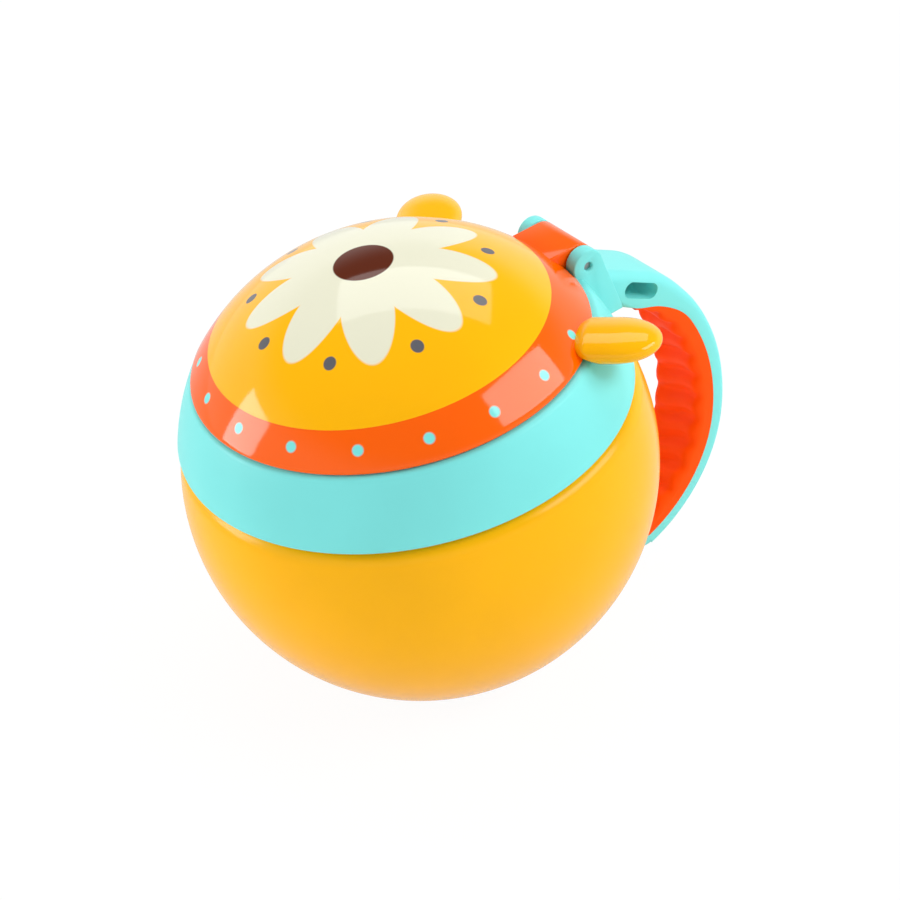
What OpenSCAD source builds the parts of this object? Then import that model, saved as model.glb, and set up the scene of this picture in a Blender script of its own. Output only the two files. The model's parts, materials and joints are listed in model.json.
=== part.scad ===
// Round snack container for a small child: a ball-shaped bowl whose mouth tilts forward, a
// screw-on collar with a handle, a soft flap insert and a hinged dome lid with two side tabs.
// Millimetres. The origin is the centre of the flat foot, +Z is up, -Y is the front, and the
// hinge axis runs along X. Everything above the foot is turned about the ball's centre by the
// tilt of the mouth: there, "height" runs along the mouth's axis from the ball's centre.

/* [Bowl] */
// Outer radius of the ball
ball_r = 52; // [48:0.5:58]
// Wall of the bowl
bowl_wall = 2; // [1.5:0.1:2.6]
// Radius of the flat foot
foot_r = 25; // [18:1:28]
// Thickness of the bowl's floor
floor_t = 2.2; // [1.6:0.1:4]
// Forward tilt of the mouth, in degrees
tilt = 11.3; // [0:0.1:15]
// Height of the shoulder that carries the neck
shoulder_h = 17.5; // [16:0.5:18.5]
// Rounding between ball and shoulder
shoulder_fillet = 4.5; // [3.5:0.5:6]
// Width of the shoulder, from the ball in to the neck
shoulder_step = 6.5; // [6.2:0.1:7.5]
// Length of the neck above the shoulder
neck_len = 8.9; // [8.6:0.1:9.2]

/* [Thread] */
// Starts of the quick thread
thread_starts = 3; // [2:1:3]
// Arc of each thread ridge, in degrees
ridge_arc = 44; // [30:1:46]
// Rise of the thread in one full turn
thread_lead = 36; // [24:1:36]
// How far a ridge stands out of its wall
ridge_proud = 0.9; // [0.7:0.1:1]
// Thickness of a ridge along the axis
ridge_t = 1.4; // [1:0.1:1.5]
// Space between a ridge and the wall it faces
ridge_gap = 0.3; // [0.25:0.05:0.4]
// Space between a ridge and its mating ridge, along the axis
flank_gap = 0.3; // [0.2:0.05:0.5]

/* [Collar] */
// Gap between shoulder and collar
collar_gap = 0.4; // [0.3:0.1:1]
// How far the collar's lower edge stands out past the ball
collar_proud = 0.45; // [0:0.05:1]
// How far the collar's rim stands out past the lid's edge
rim_proud = 0.3; // [0:0.1:0.6]
// Thickness of the deck that holds the flap ring down
deck_t = 1.8; // [1.4:0.1:2.2]
// Width of the deck inside the rim
mouth_ledge = 3.4; // [2.6:0.1:4.8]
// Height of the rim that stands up round the deck
rim_l = 2.3; // [2:0.1:2.8]
// Wall of that rim
rim_wall = 3.6; // [3.2:0.1:4]
// Walls left on both sides of the groove in the collar's lower face
collar_wall = 1.8; // [1.5:0.1:1.9]
// Depth of the groove in the collar's lower face
coring_l = 4; // [2:0.5:5]
// Chamfer of the collar's upper rim
rim_chamfer = 0.4; // [0.2:0.1:0.8]
// Rounding of the collar's lower edge
collar_fillet = 0.6; // [0.3:0.1:1]

/* [Hinge] */
// Height of the hinge axis above the lid's edge
hinge_up = 1.8; // [1.6:0.1:2.6]
// Distance of the hinge axis behind the collar's rim
hinge_out = 0.8; // [0.5:0.1:2]
// Radius of the hinge barrel and lugs
lug_r = 3.8; // [3.5:0.1:4.2]
// Width over both lugs
hinge_w = 21; // [18:0.2:24]
// Thickness of each lug
lug_t = 3.2; // [2.4:0.1:3.8]
// Side gap between tongue and lug
hinge_side_gap = 0.3; // [0.2:0.05:0.5]
// Radial gap round the barrel and the lugs
barrel_gap = 0.4; // [0.3:0.05:0.6]
// Wall left behind the pockets that clear the lugs
boss_wall = 1.1; // [0.8:0.1:1.2]
// Chamfer along the tongue's top edges
tongue_chamfer = 0.8; // [0.4:0.1:1.2]
// Radius of the hinge pin
pin_r = 1; // [0.8:0.1:1.5]
// Clearance of the pin in the tongue
pin_running_gap = 0.05; // [0.02:0.01:0.1]
// Clearance of the pin in the lugs
pin_seat_gap = 0.01; // [0.01:0.005:0.02]
// How deep the pin's ends sit in the lugs
pin_recess = 0.8; // [0.3:0.1:1.2]

/* [Lid] */
// How far the dome stands out past the ball
lid_proud = 1.3; // [0.8:0.1:1.8]
// How far the dome sits forward of the mouth's axis
lid_forward = 1; // [0.5:0.1:1.2]
// Height of the dome's centre above the ball's centre
lid_rise = 0.3; // [0:0.1:0.6]
// Gap between the lid's edge and the collar's rim
lid_gap = 0.3; // [0.2:0.05:0.5]
// Wall of the lid's outer shell
lid_wall = 1.8; // [1.5:0.1:2]
// Space between the lid's outer shell and its liner
liner_space = 1.5; // [1.4:0.1:2]
// Gap between the liner's flange and the plane of the lid's edge
liner_gap = 0.1; // [0.05:0.05:0.3]
// Wall of the liner
liner_wall = 1.4; // [1:0.1:1.8]
// Gap between plug and rim
plug_gap = 0.4; // [0.3:0.05:0.6]
// Gap between plug and deck
plug_floor_gap = 0.4; // [0.3:0.1:0.6]
// Thickness of the liner's flange
liner_flange_t = 1.5; // [1:0.1:1.8]
// Rounding of the lid's outer edge
lid_fillet = 0.5; // [0.3:0.1:0.8]
// How far the snap bead stands out of the plug
bead_proud = 0.2; // [0.1:0.05:0.25]
// Radius of the snap bead
bead_r = 0.6; // [0.4:0.1:0.7]
// Arc of the snap bead, in degrees
bead_arc = 50; // [20:5:90]
// Width of the lid's bare band round the printed film
film_margin = 6.9; // [5.8:0.1:12]
// Thickness of the printed film
film_t = 0.3; // [0.2:0.05:0.5]
// Forward tilt of the film's axis from the mouth's axis, in degrees
film_tilt = 1.8; // [0:0.2:6]

/* [Side tabs] */
// Turn of each tab behind the side, in degrees
tab_turn = 42.5; // [35:0.5:50]
// Distance of a tab's middle outside the lid's edge
tab_out = 4; // [3:0.1:7]
// Height of a tab's middle above the lid's edge
tab_up = 0.8; // [0.5:0.1:2.5]
// Half length of a tab, outwards
tab_long = 9.4; // [7:0.1:12]
// Half width of a tab
tab_wide = 7.5; // [6:0.1:9]
// Half thickness of a tab
tab_thick = 3.3; // [3:0.1:4.5]
// Forward roll of a tab, in degrees
tab_roll = 6; // [0:1:10]
// Half width of a tab's neck through the lid's wall
tab_neck_w = 4; // [3:0.1:4.5]
// Height of a tab's neck
tab_neck_t = 1.9; // [1.4:0.1:2.2]
// Gap between a tab and the curved faces that it meets
tab_gap = 0.1; // [0.05:0.05:0.2]
// How far a tab's foot reaches past its neck
tab_foot_lip = 2.5; // [1.5:0.1:3]
// Clearance between a tab and the collar
tab_clear = 0.4; // [0.3:0.1:0.8]

/* [Handle] */
// Width of the handle
handle_w = 17; // [14:0.5:20]
// Thickness of the handle at its root
root_t = 8.5; // [8:0.1:9]
// Fall of the handle's root from the plane of the mouth, in degrees
root_fall = 28.5; // [26:0.1:32]
// How far the root's outer face lies below the hinge axis
root_drop = 1.9; // [1:0.1:2.4]
// Length of the straight root behind the hinge axis
root_l = 21.2; // [20:0.1:25]
// Radius of the bend after the root
knee_r = 20; // [15:0.5:25]
// Turn of that bend, in degrees
knee_turn = 20.8; // [16:0.1:24]
// Radius of the handle's back curve
back_r = 50; // [46:0.5:54]
// Turn of the back curve, in degrees
back_turn = 52; // [48:0.5:54]
// Radius of the handle's lower curve
low_r = 37.5; // [34:0.5:40]
// Turn of the lower curve, in degrees
low_turn = 60.7; // [50:0.1:62]
// Thickness of the handle over band and grip
grip_in = 8.8; // [8.5:0.1:10]
// Thickness of the hard band round the grip
band_t = 3.9; // [3.5:0.1:4.3]
// Rounding along the handle's hard edges
band_round = 2.6; // [1.5:0.1:3]
// Rounding along the grip's edges
grip_round = 3; // [2:0.1:3.4]
// Where the grip starts, before the end of the straight root
grip_lead = 2; // [1.5:0.5:3]
// Length over which the hard band thins out beside the grip
grip_blend = 22; // [16:1:26]
// Thickness of the grip's edge where it starts
grip_edge = 0.4; // [0.3:0.1:0.8]
// Small rounding along the line where band and grip meet
seam_round = 0.15; // [0.1:0.05:0.3]
// Distance from rib to rib along the grip's face
rib_pitch = 6.2; // [5:0.1:8]
// Depth of the valley between two ribs
valley_depth = 0.9; // [0.4:0.1:1.2]
// Length of the strap slot through the handle's root
slot_l = 9.6; // [8:0.1:10]
// Height of the strap slot
slot_t = 3.8; // [3:0.1:4]
// Distance of the strap slot's middle from the start of the knee, along the root
slot_back = 2; // [2:0.1:4]
// How far the strap slot's middle lies above the middle of the root
slot_up = 0.4; // [0:0.1:0.5]

/* [Flap insert] */
// Flaps round the mouth
flaps = 6; // [6:1:6]
// Thickness of the ring's flange
flange_t = 1.4; // [1:0.1:1.6]
// Thickness of a flap
flap_t = 1.2; // [0.8:0.1:1.4]
// Width of the ring's face inside the mouth, up to the flaps' corners
flap_margin = 2.5; // [1.5:0.1:5]
// Slit between two flaps
slit = 0.6; // [0.4:0.1:1]
// Groove between a flap's root and the ring
root_gap = 0.15; // [0.1:0.05:0.3]
// Depth of the skirt that centres the ring in the neck
skirt_l = 3; // [2:0.5:4]
// Wall of the skirt
skirt_t = 1.5; // [1:0.1:2]
// Gap between skirt and neck
skirt_gap = 0.3; // [0.2:0.1:0.5]

/* [Hidden] */
$fn = 96;
eps = 0.01;          // overlap that joins touching shapes
cut = 1;             // how far a cutter runs past what it cuts
far = 4 * ball_r;    // longer than the whole object

yellow = "#FFC02A";
turquoise = "#8CF3EE";
orange = "#FF5A00";
soft_orange = "#FF4A00";
cream = "#E5E4CC";
steel = "#B9BEC2";

centre_z = sqrt(pow(ball_r, 2) - pow(foot_r, 2));   // ball's centre above the foot

// Heights of the stack, from the shoulder up
neck_top_h = shoulder_h + neck_len;
deck_h = neck_top_h + flange_t;
deck_top_h = deck_h + deck_t;
rim_h = deck_top_h + rim_l;
lid_edge_h = rim_h + lid_gap;
collar_h = shoulder_h + collar_gap;
plug_h = deck_top_h + plug_floor_gap;

// Dome of the lid
dome_r = ball_r + lid_proud;
shell_in_r = dome_r - lid_wall;
liner_r = shell_in_r - liner_space;
lid_edge_r = sqrt(pow(dome_r, 2) - pow(lid_edge_h - lid_rise, 2));
film_r = lid_edge_r - film_margin;

// Outer face of the collar: the sphere through its lower edge and its rim
collar_r1 = sqrt(pow(ball_r, 2) - pow(collar_h, 2)) + collar_proud;
collar_r2 = lid_edge_r + rim_proud;
collar_c_h = (pow(collar_r2, 2) + pow(rim_h, 2) - pow(collar_r1, 2) - pow(collar_h, 2))
             / (2 * (rim_h - collar_h));
collar_r = sqrt(pow(collar_r1, 2) + pow(collar_h - collar_c_h, 2));
collar_forward = lid_forward / 2;
rim_in_r = collar_r2 - rim_wall;
mouth_r = rim_in_r - mouth_ledge;
plug_r = rim_in_r - plug_gap;

// Thread
neck_r = sqrt(pow(ball_r, 2) - pow(shoulder_h, 2)) - shoulder_step;
bore_r = neck_r + ridge_proud + ridge_gap;
neck_bore_r = neck_r - bowl_wall;
thread_rise = thread_lead * ridge_arc / 360;
neck_ridge_h = neck_top_h - thread_rise - ridge_t / 2 - ridge_gap;
collar_ridge_h = neck_ridge_h - ridge_t - flank_gap;
ridge_steps = 12;

// Hinge
hinge_h = lid_edge_h + hinge_up;
hinge_back = collar_r2 - collar_forward + hinge_out;
tongue_w = hinge_w - 2 * lug_t - 2 * hinge_side_gap;
lug_in = hinge_w / 2 - lug_t;
pocket_r = lug_r + barrel_gap;
pocket_w = lug_t + 2 * hinge_side_gap;
boss_r = pocket_r + boss_wall;
boss_w = hinge_w + 2 * hinge_side_gap + 2 * boss_wall;

// Side tabs: the foot stands on the liner's flange, behind the shell
tab_back = lid_edge_r + tab_out;
tab_h = lid_edge_h + tab_up;
flange_h = lid_edge_h + liner_gap;
flange_top_h = flange_h + liner_flange_t;
neck_end = tab_back - tab_long / 2;
foot_t = tab_neck_t + tab_foot_lip;
pebble_sides = 28;

// Handle: the outer curve is the root's line, the knee, the back curve and the lower curve.
// Each is given by the angles of its normal at its ends, and by its centre.
knee_start = 90 - root_fall;
knee_end = knee_start - knee_turn;
low_start = knee_end - back_turn;
low_end = low_start - low_turn;
knee_p = [hinge_back, hinge_h] + root_l * [sin(knee_start), -cos(knee_start)]
         - root_drop * [cos(knee_start), sin(knee_start)];
knee_c = knee_p - knee_r * [cos(knee_start), sin(knee_start)];
back_c = knee_c - (back_r - knee_r) * [cos(knee_end), sin(knee_end)];
low_c = back_c + (back_r - low_r) * [cos(low_start), sin(low_start)];
// Distances along that curve at which knee, back curve, lower curve and grip end
knee_s = root_l + knee_r * (knee_start - knee_end) * PI / 180;
back_s = knee_s + back_r * (knee_end - low_start) * PI / 180;
low_s = back_s + low_r * (low_start - low_end) * PI / 180;
grip_s = root_l - grip_lead;
blend_s = grip_s + grip_blend;
root_s = grip_s - band_round * 2;
slot_c = knee_p - slot_back * [cos(root_fall), -sin(root_fall)]
         - (root_t / 2 - slot_up) * [sin(root_fall), cos(root_fall)];

// Rings and corners of the handle's lofts
ring_count = 70;
tip_rings = 5;
corner_steps = 3;
ring_step = (low_s - grip_s) / ring_count;

// Flaps
flap_r = mouth_r - flap_margin;
flap_turn = 360 / flaps;
flap_root = flap_r * cos(flap_turn / 2);
flap_half = flap_root * tan(flap_turn / 2);
flap_mid_h = neck_top_h + flap_t / 2;

// Puts a shape in the tilted frame of the mouth, its origin at the ball's centre
module tilted() {
    translate([0, 0, centre_z]) rotate([tilt, 0, 0]) children();
}

// Stands an outline of [back, height] points upright across X, w wide
module across(w) {
    rotate([90, 0, 90]) translate([0, 0, -w / 2]) linear_extrude(w) children();
}

// Point at distance s past the start of an arc of radius r about c, which starts at angle a0 and
// turns clockwise: [back, height, angle of the normal]
function on_arc(c, r, a0, s) = let (a = a0 - s / r * 180 / PI)
    [c[0] + r * cos(a), c[1] + r * sin(a), a];

// Point at distance s past a point, straight on
function straight_on(q, s) = [q[0] + s * sin(q[2]), q[1] - s * cos(q[2]), q[2]];

// The handle's outer curve at distance s from its start
function path(s) =
    s < root_l ? straight_on([knee_p[0], knee_p[1], knee_start], s - root_l)
    : s < knee_s ? on_arc(knee_c, knee_r, knee_start, s - root_l)
    : s < back_s ? on_arc(back_c, back_r, knee_end, s - knee_s)
    : s < low_s ? on_arc(low_c, low_r, low_start, s - back_s)
    : straight_on(on_arc(low_c, low_r, low_start, low_s - back_s), s - low_s);

// Rises smoothly from 0 at a to 1 at b
function ease(s, a, b) = (1 - cos(180 * min(1, max(0, (s - a) / (b - a))))) / 2;

// Depths below the outer curve: of the handle's inner face, and of the seam to the grip
function inner_depth(s) = root_t + (grip_in - root_t) * ease(s, grip_s, blend_s);
function seam_depth(s) = let (d = root_t - grip_edge)
    d - (d - band_t) * ease(s, grip_s, blend_s);

// Length along the grip's face at distance s along the outer curve
function face_run(s) = let (back = min(s, back_s) - knee_s, low = max(0, s - back_s))
    back * (1 - grip_in / back_r) + low * (1 - grip_in / low_r);
function grip_depth(s) = inner_depth(s)
    - valley_depth * ease(s, grip_s, knee_s) * (1 - cos(360 * face_run(s) / rib_pitch)) / 2;

// Section from depth d0 to depth d1, half as wide as w, its corners rounded by f0 and f1:
// points [x, distance outwards from the outer curve]
function section(w, d0, d1, f0, f1) =
    [for (c = [[w - f1, f1 - d1, f1, -90], [w - f0, -d0 - f0, f0, 0],
               [f0 - w, -d0 - f0, f0, 90], [f1 - w, f1 - d1, f1, 180]],
          k = [0 : corner_steps])
        let (a = c[3] + 90 * k / corner_steps)
        [c[0] + c[2] * cos(a), c[1] + c[2] * sin(a)]];

// Section of the rounded tip at distance u past the end of the grip
function tip_section(u) = let (r = grip_in / 2, k = sqrt(1 - pow(u / r, 2)))
    section(handle_w / 2 - band_round * (1 - k), r - r * k, r + r * k,
            band_round * k, band_round * k);

// Joins sections along the handle's outer curve, given as [s, section]
module loft(rings) {
    n = len(rings[0][1]);
    last = n * (len(rings) - 1);
    points = [for (r = rings, p = r[1]) let (q = path(r[0]))
        [p[0], q[0] + p[1] * cos(q[2]), q[1] + p[1] * sin(q[2])]];
    sides = [for (i = [0 : len(rings) - 2], k = [0 : n - 1])
        [n * i + k, n * i + (k + 1) % n, n * (i + 1) + (k + 1) % n, n * (i + 1) + k]];
    ends = [[for (k = [0 : n - 1]) n - 1 - k], [for (k = [0 : n - 1]) last + k]];
    polyhedron(points, concat(sides, ends));
}

// Half outline of a ball of radius r about height c_h, cut off at height h with a rim rounded
// by f. Side 1 keeps what is above h, side -1 what is below.
module rim_outline(r, c_h, h, f, side) {
    y = h + side * f;
    x = sqrt(pow(r - f, 2) - pow(y - c_h, 2));
    t = c_h + (y - c_h) * r / (r - f);
    intersection() {
        translate([0, c_h]) circle(r, $fn = 2 * $fn);
        translate([0, side > 0 ? t : t - 2 * r]) square(2 * r);
    }
    translate([0, min(h, t) - (side > 0 ? 0 : eps)]) square([x, abs(t - h) + eps]);
    translate([x, y]) circle(f);
}

// Half outline of the bowl without its neck, drawn in by inset
module body_outline(inset) {
    r = ball_r - inset;
    f = shoulder_fillet - inset;
    c_h = shoulder_h - shoulder_fillet;
    c_r = sqrt(pow(ball_r - shoulder_fillet, 2) - pow(c_h, 2));
    intersection() {
        circle(r, $fn = 2 * $fn);
        translate([0, -2 * r]) square([2 * r, 2 * r + c_h * r / (r - f)]);
    }
    translate([c_r, c_h]) circle(f);
    translate([0, 0]) square([c_r, shoulder_h - inset]);
}

// Corner k of a thread ridge's section: two in the wall, then two at the crest
function ridge_corner(k, r_wall, r_crest, t) =
    [[r_wall, -t / 2], [r_wall, t / 2], [r_crest, t / 4], [r_crest, -t / 4]][k];

// Point of a thread ridge: corner k at step i of its arc
function ridge_point(i, k, r_wall, r_crest, t) =
    let (a = ridge_arc * i / ridge_steps, c = ridge_corner(k, r_wall, r_crest, t))
    [c[0] * cos(a), c[0] * sin(a), c[1] + thread_rise * i / ridge_steps];

// One thread ridge, rising from height 0
module ridge(r_wall, r_crest, t) {
    out = r_crest > r_wall;
    points = [for (i = [0 : ridge_steps], k = [0 : 3]) ridge_point(i, k, r_wall, r_crest, t)];
    sides = [for (i = [0 : ridge_steps - 1], k = [0 : 3])
        [4 * i + k, 4 * i + 4 + k, 4 * i + 4 + (k + 1) % 4, 4 * i + (k + 1) % 4]];
    last = 4 * ridge_steps;
    ends = [[0, 1, 2, 3], [last + 3, last + 2, last + 1, last]];
    faces = concat(sides, ends);
    polyhedron(points, out ? faces : [for (f = faces) [f[3], f[2], f[1], f[0]]]);
}

// All ridges of one side of the thread
module thread(h, r_wall, r_crest) {
    for (i = [0 : thread_starts - 1])
        rotate([0, 0, i * 360 / thread_starts]) translate([0, 0, h])
            ridge(r_wall, r_crest, ridge_t);
}

// Cylinder along the hinge axis
module hinge_rod(r, w) {
    across(w) translate([hinge_back, hinge_h]) circle(r);
}

// Dome of the lid as a full ball of radius r
module dome_ball(r) {
    translate([0, -lid_forward, lid_rise]) sphere(r, $fn = 2 * $fn);
}

// Everything above height h
module above(h) {
    translate([-far / 2, -far / 2, h]) cube([far, far, far]);
}

module bowl() color(yellow) {
    intersection() {
        tilted() difference() {
            union() {
                rotate_extrude() body_outline(0);
                cylinder(neck_top_h, r = neck_r);
                thread(neck_ridge_h, neck_r - bowl_wall / 4, neck_r + ridge_proud);
            }
            intersection() {
                rotate_extrude() body_outline(bowl_wall);
                rotate([-tilt, 0, 0]) above(floor_t - centre_z);
            }
            cylinder(neck_top_h + cut, r = neck_bore_r);
        }
        above(0);
    }
}

// Outline of a hinge lug and the pad that carries it, in [back, height]
module lug_outline() {
    foot_h = collar_h + root_t / 5;
    translate([hinge_back, hinge_h]) circle(lug_r);
    polygon([[hinge_back - lug_r * 2 / 3, hinge_h],
             [hinge_back + lug_r, hinge_h],
             [hinge_back + 2 * lug_r, foot_h],
             [hinge_back - lug_r * 2 / 3, foot_h]]);
}

// Both lugs, or the space that they take
module lugs() {
    for (s = [-1, 1])
        translate([s * (lug_in + lug_t / 2), 0, 0]) across(lug_t) lug_outline();
}

// Outer form of the collar, without its hollows
module collar_body() {
    translate([0, -collar_forward, 0]) rotate_extrude() difference() {
        rim_outline(collar_r, collar_c_h, collar_h, collar_fillet, 1);
        translate([0, rim_h]) square(collar_r);
        translate([collar_r2, rim_h]) rotate(45) square(rim_chamfer * sqrt(2), center = true);
    }
}

// Groove that keeps the collar's walls even, open at its lower face
module coring() {
    translate([0, -collar_forward, 0]) rotate_extrude() intersection() {
        translate([0, collar_c_h]) circle(collar_r - collar_wall, $fn = 2 * $fn);
        translate([bore_r + collar_wall, collar_h - cut])
            square([collar_r, coring_l + cut]);
    }
}

module collar_ring() color(turquoise) tilted() {
    difference() {
        union() {
            collar_body();
            lugs();
        }
        // bore over the neck, mouth and the seat of the lid's plug
        translate([0, 0, collar_h - cut]) cylinder(deck_h - collar_h + cut, r = bore_r);
        cylinder(far, r = mouth_r);
        translate([0, 0, deck_top_h]) cylinder(far, r = rim_in_r);
        coring();
        // room for the tongue and its barrel, and the pin's bore
        translate([-lug_in, 0, plug_h]) cube([2 * lug_in, far, far]);
        hinge_rod(pocket_r, 2 * lug_in);
        hinge_rod(pin_r + pin_seat_gap, far);
    }
    thread(collar_ridge_h, bore_r + ridge_gap, neck_r + ridge_gap);
}

// Slot through the root for a strap
module strap_slot() {
    translate([0, slot_c[0], slot_c[1]]) rotate([-root_fall, 0, 0]) across(far) {
        square([slot_l - slot_t, slot_t], center = true);
        for (s = [-1, 1]) translate([s * (slot_l - slot_t) / 2, 0]) circle(slot_t / 2);
    }
}

module handle_arm() color(turquoise) tilted() {
    w = handle_w / 2;
    tip_l = grip_in / 2;
    root = [for (s = [0, root_s]) [s, section(w, 0, root_t, band_round, band_round)]];
    band = [for (i = [0 : ring_count]) let (s = grip_s + i * ring_step)
        [s, section(w, 0, seam_depth(s), min(band_round, seam_depth(s) / 2), seam_round)]];
    tip = [for (i = [0 : tip_rings]) let (u = tip_l * sin(84 * i / tip_rings))
        [low_s + eps + u, tip_section(u)]];
    difference() {
        loft(concat(root, band, tip));
        strap_slot();
        collar_body();
        lugs();
        hinge_rod(pocket_r, handle_w + cut);
    }
}

module handle_grip() color(soft_orange) tilted() {
    loft([for (i = [0 : ring_count]) let (s = grip_s + i * ring_step, t = grip_depth(s),
                                          d = seam_depth(s), f = (t - d) / 2)
        [s, section(handle_w / 2, d, t, min(seam_round, f / 2), min(grip_round, f))]]);
}

module hinge_pin() color(steel) tilted() {
    hinge_rod(pin_r, hinge_w - 2 * pin_recess);
}

module flap_ring() color(turquoise) tilted() {
    difference() {
        union() {
            translate([0, 0, neck_top_h]) cylinder(flange_t, r = neck_r);
            translate([0, 0, neck_top_h - skirt_l])
                cylinder(skirt_l + eps, r = neck_bore_r - skirt_gap);
        }
        translate([0, 0, neck_top_h - skirt_l - cut])
            cylinder(skirt_l + cut, r = neck_bore_r - skirt_gap - skirt_t);
        // the polygon that the flaps fill, past their round roots
        rotate([0, 0, flap_turn / 2]) translate([0, 0, neck_top_h - cut])
            cylinder(far, r = flap_r + (flap_t / 2 + root_gap) / cos(flap_turn / 2),
                     $fn = flaps);
    }
}

// Flap i: a three-sided plate with a round root
module flap(i) color(turquoise) tilted() rotate([0, 0, i * flap_turn]) {
    translate([0, 0, neck_top_h]) linear_extrude(flap_t) difference() {
        polygon([[0, 0], [flap_root, flap_half], [flap_root, -flap_half]]);
        for (s = [-1, 1]) rotate([0, 0, s * flap_turn / 2])
            translate([-cut, -slit / 2]) square([flap_r + 2 * cut, slit]);
    }
    translate([flap_root, 0, flap_mid_h]) rotate([90, 0, 0])
        cylinder(2 * (flap_half - slit), r = flap_t / 2, center = true, $fn = 32);
}

// Places a shape at a side tab, its x pointing outwards
module at_tab(side) {
    mirror([side < 0 ? 1 : 0, 0, 0]) rotate([0, 0, tab_turn]) children();
}

// Upright block at a side tab, from x1 outwards to x2, of half width w, from height h1 to h2
module tab_block(side, x1, x2, w, h1, h2) {
    at_tab(side) translate([x1, -w, h1]) cube([x2 - x1, 2 * w, h2 - h1]);
}

// Rounded body with half lengths a along x, b along y and c along z
module pebble(a, b, c) {
    n = pebble_sides;
    rings = [for (i = [1 : n / 2 - 1], k = [0 : n - 1])
        let (u = 360 * i / n, v = 360 * k / n)
        [a * cos(u), b * sin(u) * cos(v), c * sin(u) * sin(v)]];
    last = n * (n / 2 - 2);
    sides = [for (i = [0 : n / 2 - 3], k = [0 : n - 1])
        [n * i + k, n * i + (k + 1) % n, n * (i + 1) + (k + 1) % n, n * (i + 1) + k]];
    caps = [[for (k = [0 : n - 1]) n - 1 - k], [for (k = [0 : n - 1]) last + k]];
    polyhedron(rings, concat(sides, caps));
}

module side_tab(side) color(yellow) tilted() {
    // rounded paddle outside the lid, clear of the collar
    difference() {
        at_tab(side) translate([tab_back, 0, tab_h]) rotate([-tab_roll, 0, 0])
            pebble(tab_long, tab_wide, tab_thick);
        dome_ball(dome_r + tab_gap);
        intersection() {
            translate([0, -collar_forward, collar_c_h])
                sphere(collar_r + tab_clear, $fn = 2 * $fn);
            translate([0, 0, lid_edge_h]) mirror([0, 0, 1]) above(0);
        }
    }
    // neck through the lid's wall, and foot behind it
    difference() {
        tab_block(side, 0, neck_end, tab_neck_w, flange_top_h, flange_top_h + tab_neck_t);
        dome_ball(liner_r + tab_gap);
    }
    intersection() {
        tab_block(side, 0, tab_back, tab_neck_w + tab_foot_lip, flange_top_h,
                  flange_top_h + foot_t);
        difference() {
            dome_ball(shell_in_r - tab_gap);
            dome_ball(liner_r + tab_gap);
        }
    }
}

// Tongue of the lid with the hinge's barrel at its end
module tongue() {
    top = hinge_h + lug_r;
    difference() {
        across(tongue_w) {
            translate([hinge_back, hinge_h]) circle(lug_r);
            translate([hinge_back - 2 * lug_r, hinge_h]) square([2 * lug_r, lug_r]);
        }
        for (s = [-1, 1]) translate([s * tongue_w / 2, hinge_back - lug_r * 7 / 4, top])
            rotate([0, 45, 0]) translate([-tongue_chamfer / sqrt(2), 0, -tongue_chamfer / sqrt(2)])
                cube([tongue_chamfer * sqrt(2), far, tongue_chamfer * sqrt(2)]);
    }
}

// Pockets in the lid that clear the lugs
module pockets() {
    for (s = [-1, 1]) translate([s * (lug_in + lug_t / 2), 0, 0]) hinge_rod(pocket_r, pocket_w);
}

module lid_shell() color(orange) tilted() {
    difference() {
        union() {
            translate([0, -lid_forward, 0]) rotate_extrude()
                rim_outline(dome_r, lid_rise, lid_edge_h, lid_fillet, 1);
            tongue();
        }
        // hollow, but for a boss that backs the pockets
        difference() {
            dome_ball(shell_in_r);
            hinge_rod(boss_r, boss_w);
        }
        pockets();
        hinge_rod(pin_r + pin_running_gap, far);
        film_seat();
        for (side = [-1, 1])
            tab_block(side, 0, tab_back, tab_neck_w, 0, flange_top_h + tab_neck_t);
    }
}

module lid_liner() color(orange) tilted() {
    difference() {
        intersection() {
            dome_ball(shell_in_r - tab_gap);
            union() {
                intersection() {
                    dome_ball(liner_r);
                    above(flange_h);
                }
                // flange that closes the shell, and plug that fits the collar's rim
                translate([0, 0, flange_h]) cylinder(liner_flange_t, r = dome_r);
                translate([0, 0, plug_h]) cylinder(flange_h - plug_h + eps, r = plug_r);
                snap_bead();
            }
        }
        intersection() {
            dome_ball(liner_r - liner_wall);
            above(flange_h);
        }
        translate([0, 0, plug_h - cut])
            cylinder(flange_h - plug_h + cut + eps, r = plug_r - liner_wall);
        intersection() {
            hinge_rod(boss_r + tab_gap, boss_w + 2 * tab_gap);
            above(flange_h);
        }
    }
}

// Bead on the front of the plug that holds the lid shut
module snap_bead() {
    rotate([0, 0, 270 - bead_arc / 2]) rotate_extrude(angle = bead_arc)
        translate([plug_r + bead_proud - bead_r, plug_h + 2 * bead_r]) circle(bead_r);
}

// Space of the printed film in the dome's outer face
module film_seat() {
    translate([0, -lid_forward, lid_rise]) rotate([film_tilt, 0, 0]) difference() {
        cylinder(far, r = film_r);
        sphere(dome_r - film_t, $fn = 2 * $fn);
    }
}

module decor_film() color(cream) tilted() intersection() {
    dome_ball(dome_r);
    film_seat();
}

module side_tab_left() side_tab(-1);
module side_tab_right() side_tab(1);

bowl();
collar_ring();
handle_arm();
handle_grip();
hinge_pin();
flap_ring();
flap(0);  // flap_1
flap(1);  // flap_2
flap(2);  // flap_3
flap(3);  // flap_4
flap(4);  // flap_5
flap(5);  // flap_6
lid_shell();
lid_liner();
decor_film();
side_tab_left();
side_tab_right();
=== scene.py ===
"""Looks of a toddler's snack container: a ball-shaped bowl with a tilted mouth, a screw-on
collar with a gripped handle, a soft flap insert and a hinged dome lid with two side tabs.
Lengths are in metres. Pieces are made upright in the frame of the mouth, its origin at the
ball's centre and its Z along the mouth's axis, and are then turned to their place."""
import json
import math

import bmesh
import bpy
from mathutils import Matrix, Vector

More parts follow.
